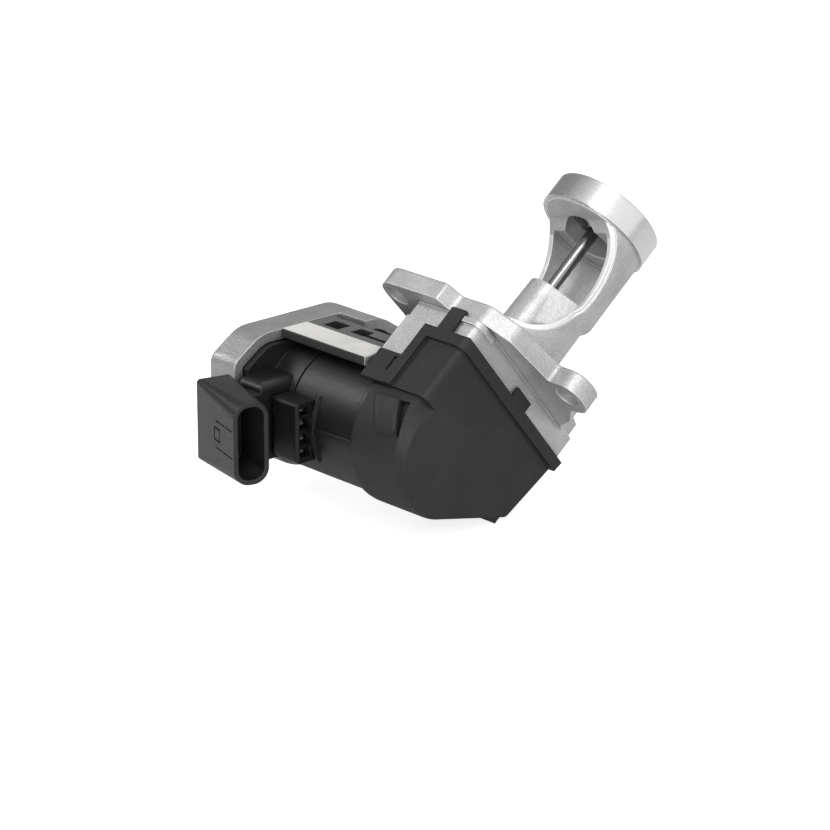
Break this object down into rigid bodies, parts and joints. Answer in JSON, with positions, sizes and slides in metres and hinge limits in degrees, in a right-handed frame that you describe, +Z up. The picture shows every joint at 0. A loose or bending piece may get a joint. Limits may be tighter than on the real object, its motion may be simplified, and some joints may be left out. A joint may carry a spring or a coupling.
{
  "type": "exhaust gas recirculation valve",
  "caption": "Electric exhaust gas recirculation valve: side-windowed snout with a poppet valve, flange, geared actuator, motor and plug socket.",
  "frame": {"origin": "centre of the sealing ring's lower shoulder, on the valve axis", "axes": "+Z up as the part lies in the picture, +X along the motor's axis towards the gear cover; the valve axis leans 38.5 degrees above +Y"},
  "size_m": [0.1123, 0.1474, 0.1097],
  "materials": {
    "cast_aluminium": "fine sand-cast satin",
    "machined_steel": "turned",
    "seat_steel": "ground",
    "stem_steel": "polished",
    "bronze": "turned",
    "seal_rubber": "matt",
    "cover_plastic": "grained",
    "motor_plastic": "satin",
    "socket_plastic": "grained",
    "gear_plastic": "moulded",
    "gear_steel": "sintered",
    "can_steel": "zinc plated",
    "magnet": "sintered",
    "lamination": "stacked",
    "copper": "turned",
    "carbon": "pressed",
    "cap_aluminium": "sand-cast satin",
    "pin_tin": "tin plated",
    "label": "printed film, blank",
    "board": "lacquered"
  },
  "bodies": {
    "casting": {"valve_body": "cast_aluminium", "seat_ring": "machined_steel", "valve_seat": "seat_steel", "stem_guide": "bronze", "stem_seal": "seal_rubber", "return_spring": "gear_steel", "output_bearing": "machined_steel", "intermediate_pin": "stem_steel", "gear_cover": "cover_plastic", "cover_seal": "seal_rubber", "motor_housing": "motor_plastic", "motor_can": "can_steel", "motor_magnets": "magnet", "motor_bearings": "machined_steel", "motor_screws": "gear_steel", "brush_holder": "motor_plastic", "brushes": "carbon", "end_bell": "motor_plastic", "motor_end_cap": "cap_aluminium", "connector_shell": "socket_plastic", "connector_pins": "pin_tin", "terminal_block": "socket_plastic", "id_label": "label", "sensor_board": "board"},
    "valve": {"poppet_valve": "stem_steel", "stem_yoke": "gear_steel", "spring_retainer": "gear_steel"},
    "rotor": {"rotor_shaft": "stem_steel", "rotor_core": "lamination", "commutator": "copper", "motor_pinion": "copper"},
    "intermediate": {"intermediate_gear": "gear_plastic"},
    "output": {"output_gear": "gear_steel", "output_shaft": "stem_steel", "crank_pin": "stem_steel", "crank_roller": "gear_steel", "position_magnet": "magnet"}
  },
  "joints": [
    {"name": "motor_spin", "type": "hinge", "parent": "casting", "child": "rotor", "pos_m": [0, -0.072, -0.05727], "axis": [-1, 0, 0], "range_deg": [0, 583.75]},
    {"name": "intermediate_spin", "type": "hinge", "parent": "casting", "child": "intermediate", "pos_m": [0, -0.05716, -0.06577], "axis": [-1, 0, 0], "range_deg": [-155.72, 0]},
    {"name": "output_turn", "type": "hinge", "parent": "casting", "child": "output", "pos_m": [0, -0.05162, -0.05077], "axis": [-1, 0, 0], "range_deg": [0, 51.91]},
    {"name": "valve_lift", "type": "slide", "parent": "casting", "child": "valve", "axis": [0, 0.7826, 0.6225], "range_m": [0, 0.00701], "deforming": ["return_spring"]}
  ],
  "couplings": [
    {"joint": "intermediate_spin", "follows": "motor_spin", "ratio": -0.26667},
    {"joint": "output_turn", "follows": "motor_spin", "ratio": 0.088889},
    {"joint": "valve_lift", "follows": "motor_spin", "m_per_rad": 0.00068706}
  ]
}
